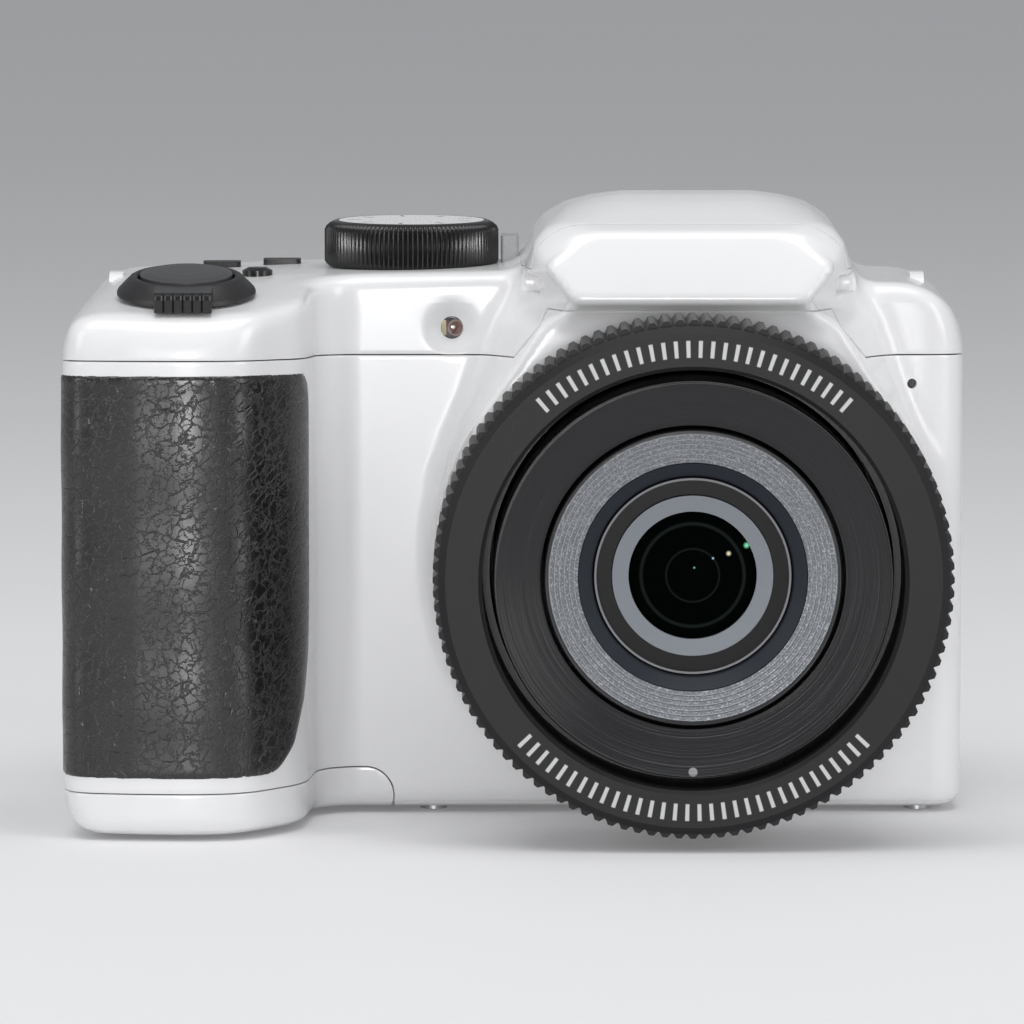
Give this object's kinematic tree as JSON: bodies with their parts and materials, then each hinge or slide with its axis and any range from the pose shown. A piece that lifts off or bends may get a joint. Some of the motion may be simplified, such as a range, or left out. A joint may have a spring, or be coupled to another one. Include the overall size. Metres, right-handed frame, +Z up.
{
  "type": "bridge camera",
  "caption": "White bridge camera with a rubber grip, ribbed lens ring, extending zoom barrels, pop-up flash, mode dial, zoom lever, buttons and a hinged battery door.",
  "frame": {"origin": "mouth of the tripod socket, on the base plane under the lens axis", "axes": "+X to the right seen from the front, +Y to the back away from the lens, +Z up"},
  "size_m": [0.119, 0.0709, 0.0821],
  "materials": {
    "white_shell": "glossy white moulded plastic",
    "grip_rubber": "black rubber with a leather grain",
    "black_plastic": "black moulded plastic",
    "dark_plastic": "dark grey moulded plastic",
    "grey_plastic": "grey moulded plastic",
    "gloss_black": "glossy black plastic",
    "bright_metal": "bright spun aluminium",
    "steel": "plain steel",
    "lens_glass": "coated optical glass",
    "clear_plastic": "clear moulded plastic",
    "board": "green printed board",
    "cell_wrap": "plain wrapped cell",
    "screen": "dark display glass"
  },
  "bodies": {
    "camera_body": {"front_cover": "white_shell", "top_cover": "white_shell", "rear_cover": "white_shell", "base_plate": "white_shell", "grip_skin": "grip_rubber", "lens_ring": "dark_plastic", "lens_tube": "black_plastic", "lens_base": "black_plastic", "guide_rods": "steel", "image_sensor": "screen", "sensor_board": "board", "chassis": "steel", "main_board": "board", "lcd_panel": "screen", "lcd_window": "screen", "battery_holder": "dark_plastic", "battery_cells": "cell_wrap", "battery_contacts": "steel", "card_socket": "steel", "tripod_bush": "steel", "strap_lug_left": "white_shell", "strap_lug_right": "white_shell", "lamp_lens": "clear_plastic", "lamp_led": "clear_plastic", "microphone": "steel", "flash_capacitor": "gloss_black", "zoom_motor": "steel", "usb_socket": "steel", "case_screws": "steel", "flash_pin": "steel"},
    "flash_head": {"flash_housing": "white_shell", "flash_window": "clear_plastic", "flash_reflector": "bright_metal", "flash_tube": "clear_plastic"},
    "dial": {"mode_dial": "black_plastic", "dial_cap": "bright_metal"},
    "zoom_lever": {"zoom_lever": "gloss_black"},
    "shutter": {"shutter_button": "dark_plastic"},
    "power": {"power_button": "gloss_black"},
    "drive": {"drive_button": "dark_plastic"},
    "exposure": {"exposure_button": "dark_plastic"},
    "flash_key": {"flash_button": "grey_plastic"},
    "record": {"record_button": "grey_plastic"},
    "menu": {"menu_button": "grey_plastic"},
    "play": {"play_button": "grey_plastic"},
    "display": {"display_button": "grey_plastic"},
    "set": {"set_button": "grey_plastic"},
    "rocker": {"control_ring": "grey_plastic"},
    "outer_barrel": {"outer_barrel": "black_plastic"},
    "inner_barrel": {"inner_barrel": "black_plastic", "front_groove_ring": "dark_plastic", "front_retainer": "black_plastic", "front_lens": "lens_glass"},
    "rear_group": {"rear_lens_cell": "black_plastic", "rear_lens": "lens_glass"},
    "cam": {"cam_ring": "grey_plastic"},
    "zoom_gear": {"drive_gear": "grey_plastic"},
    "door": {"battery_door": "white_shell", "door_contact": "steel"},
    "port_flap": {"port_cover": "white_shell"}
  },
  "joints": [
    {"name": "flash_lift", "type": "hinge", "parent": "camera_body", "child": "flash_head", "pos_m": [0, 0.008, 0.0767], "axis": [-1, 0, 0], "range_deg": [0, 40]},
    {"name": "dial_turn", "type": "hinge", "parent": "camera_body", "child": "dial", "pos_m": [-0.0365, 0.002, 0.0711], "axis": [0, 0, 1], "continuous": true},
    {"name": "lever_turn", "type": "hinge", "parent": "camera_body", "child": "zoom_lever", "pos_m": [-0.0653, -0.027, 0.06949], "axis": [0, -0.1392, 0.9903], "range_deg": [-20, 20], "stiffness_Nm_per_rad": 0.05},
    {"name": "shutter_press", "type": "slide", "parent": "camera_body", "child": "shutter", "axis": [0, 0.1392, -0.9903], "range_m": [0, 0.001], "stiffness_N_per_m": 150},
    {"name": "power_press", "type": "slide", "parent": "camera_body", "child": "power", "axis": [0, 0, -1], "range_m": [0, 0.0006], "stiffness_N_per_m": 150},
    {"name": "drive_press", "type": "slide", "parent": "camera_body", "child": "drive", "axis": [0, 0, -1], "range_m": [0, 0.0006], "stiffness_N_per_m": 150},
    {"name": "exposure_press", "type": "slide", "parent": "camera_body", "child": "exposure", "axis": [0, 0, -1], "range_m": [0, 0.0006], "stiffness_N_per_m": 150},
    {"name": "flash_key_press", "type": "slide", "parent": "camera_body", "child": "flash_key", "axis": [0, 0, -1], "range_m": [0, 0.001], "stiffness_N_per_m": 150},
    {"name": "record_press", "type": "slide", "parent": "camera_body", "child": "record", "axis": [0, -1, 0], "range_m": [0, 0.0005], "stiffness_N_per_m": 150},
    {"name": "menu_press", "type": "slide", "parent": "camera_body", "child": "menu", "axis": [0, -1, 0], "range_m": [0, 0.0005], "stiffness_N_per_m": 150},
    {"name": "play_press", "type": "slide", "parent": "camera_body", "child": "play", "axis": [0, -1, 0], "range_m": [0, 0.0005], "stiffness_N_per_m": 150},
    {"name": "display_press", "type": "slide", "parent": "camera_body", "child": "display", "axis": [0, -1, 0], "range_m": [0, 0.0005], "stiffness_N_per_m": 150},
    {"name": "set_press", "type": "slide", "parent": "camera_body", "child": "set", "axis": [0, -1, 0], "range_m": [0, 0.0005], "stiffness_N_per_m": 150},
    {"name": "rocker_tilt", "type": "hinge", "parent": "camera_body", "child": "rocker", "pos_m": [-0.057, 0.018, 0.027], "axis": [1, 0, 0], "range_deg": [-2, 2], "stiffness_Nm_per_rad": 0.05},
    {"name": "cam_turn", "type": "hinge", "parent": "camera_body", "child": "cam", "pos_m": [0, -0.015, 0.0349], "axis": [0, 1, 0], "range_deg": [0, 80]},
    {"name": "outer_slide", "type": "slide", "parent": "camera_body", "child": "outer_barrel", "axis": [0, -1, 0], "range_m": [0, 0.02]},
    {"name": "inner_slide", "type": "slide", "parent": "outer_barrel", "child": "inner_barrel", "axis": [0, -1, 0], "range_m": [0, 0.018]},
    {"name": "rear_group_slide", "type": "slide", "parent": "camera_body", "child": "rear_group", "axis": [0, -1, 0], "range_m": [0, 0.005]},
    {"name": "zoom_gear_turn", "type": "hinge", "parent": "camera_body", "child": "zoom_gear", "pos_m": [-0.02675, -0.015, 0.01081], "axis": [0, 1, 0], "range_deg": [-400, 0]},
    {"name": "door_swing", "type": "hinge", "parent": "camera_body", "child": "door", "pos_m": [-0.0425, 0, 0.0024], "axis": [0, -1, 0], "range_deg": [0, 85]},
    {"name": "port_flap_swing", "type": "hinge", "parent": "camera_body", "child": "port_flap", "pos_m": [0.0366, 0.0117, 0.0411], "axis": [0, 0, 1], "range_deg": [0, 100]}
  ],
  "couplings": [
    {"joint": "inner_slide", "follows": "outer_slide", "ratio": 0.9},
    {"joint": "rear_group_slide", "follows": "outer_slide", "ratio": 0.25},
    {"joint": "cam_turn", "follows": "outer_slide", "rad_per_m": 69.81},
    {"joint": "zoom_gear_turn", "follows": "outer_slide", "rad_per_m": -349.05}
  ]
}
